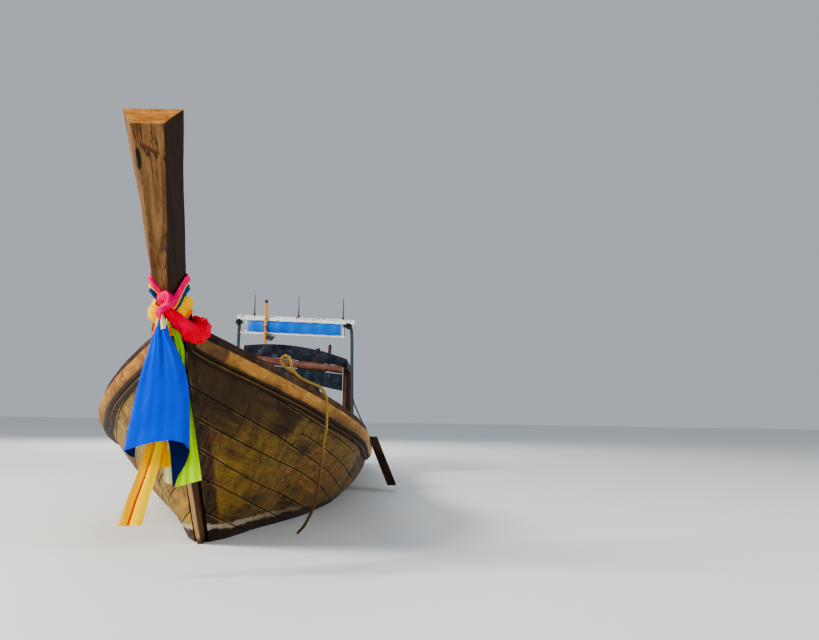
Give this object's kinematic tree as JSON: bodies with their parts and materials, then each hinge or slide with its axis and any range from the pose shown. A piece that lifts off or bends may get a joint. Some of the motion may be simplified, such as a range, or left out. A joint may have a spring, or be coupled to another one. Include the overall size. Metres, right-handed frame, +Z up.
{
  "type": "longtail boat",
  "caption": "Open wooden longtail boat with a tall raked prow, cloth sashes, canopy, and a swivelling, tilting engine with a long propeller shaft.",
  "frame": {"origin": "on the centreline at the waterline, near midships", "axes": "+X towards the bow, +Y to port, +Z up"},
  "size_m": [15.1192, 2.4323, 2.82],
  "materials": {
    "hull_wood": "weathered",
    "dark_wood": "weathered",
    "tan_wood": "oiled",
    "brown_wood": "worn",
    "frame_tube": "satin",
    "banner": "satin",
    "pole_paint": "satin",
    "black_case": "matte",
    "canopy_cloth": "matte",
    "roll_cloth": "matte",
    "rope": "matte",
    "pink_cloth": "satin",
    "gold_cloth": "satin",
    "red_cloth": "satin",
    "blue_cloth": "satin",
    "lime_cloth": "satin",
    "yellow_cloth": "satin",
    "steel": "worn",
    "engine_grey": "satin",
    "radiator_black": "matte",
    "rusty_pipe": "matte",
    "bronze": "worn"
  },
  "bodies": {
    "hull": {"planking_port": "hull_wood", "planking_starboard": "hull_wood", "transom": "hull_wood", "keel": "dark_wood", "gunwale_cap_port": "dark_wood", "gunwale_cap_starboard": "dark_wood", "engine_beam": "dark_wood", "side_ladder": "dark_wood", "rub_rail_port": "tan_wood", "rub_rail_starboard": "tan_wood", "stem_prow": "brown_wood", "frames_port": "brown_wood", "frames_starboard": "brown_wood", "floor_timbers": "brown_wood", "floor_boards": "brown_wood", "foredeck": "brown_wood", "aft_deck": "brown_wood", "thwart_1": "brown_wood", "thwart_2": "brown_wood", "thwart_3": "brown_wood", "thwart_4": "brown_wood", "thwart_5": "brown_wood", "thwart_6": "brown_wood", "mooring_bitt": "brown_wood", "canopy_frame": "brown_wood", "canopy_post_front_port": "brown_wood", "canopy_post_front_starboard": "brown_wood", "canopy_post_middle_port": "brown_wood", "canopy_post_middle_starboard": "brown_wood", "canopy_post_rear_port": "brown_wood", "canopy_post_rear_starboard": "brown_wood", "banner_frame": "frame_tube", "rod_port": "frame_tube", "rod_middle": "frame_tube", "rod_starboard": "frame_tube", "banner_panel": "banner", "flag_pole": "pole_paint", "spotlight": "black_case", "canopy_roof": "canopy_cloth", "canopy_valance": "canopy_cloth", "front_curtain": "canopy_cloth", "curtain_roll": "roll_cloth", "mooring_rope": "rope", "sash_wrap_upper": "pink_cloth", "sash_wrap_lower": "gold_cloth", "scarf": "red_cloth", "blue_sash": "blue_cloth", "lime_sash": "lime_cloth", "yellow_ribbon": "yellow_cloth"},
    "turret": {"turret": "steel"},
    "engine": {"engine_cradle": "steel", "engine_block": "engine_grey", "bell_housing": "steel", "radiator": "radiator_black", "exhaust_pipe": "rusty_pipe", "air_filter": "black_case", "tiller": "steel", "shaft_tube": "steel"},
    "propeller": {"propeller": "bronze"}
  },
  "joints": [
    {"name": "engine_swivel", "type": "hinge", "parent": "hull", "child": "turret", "pos_m": [-5.15, 0, 0.6254], "axis": [0, 0, 1], "range_deg": [-45, 45]},
    {"name": "engine_tilt", "type": "hinge", "parent": "turret", "child": "engine", "pos_m": [-5.15, 0, 1.2], "axis": [0, 1, 0], "range_deg": [-11, 6]},
    {"name": "propeller_spin", "type": "hinge", "parent": "engine", "child": "propeller", "pos_m": [-8.41739, 0, 0.32654], "axis": [0.9563, 0, 0.2924], "continuous": true}
  ]
}
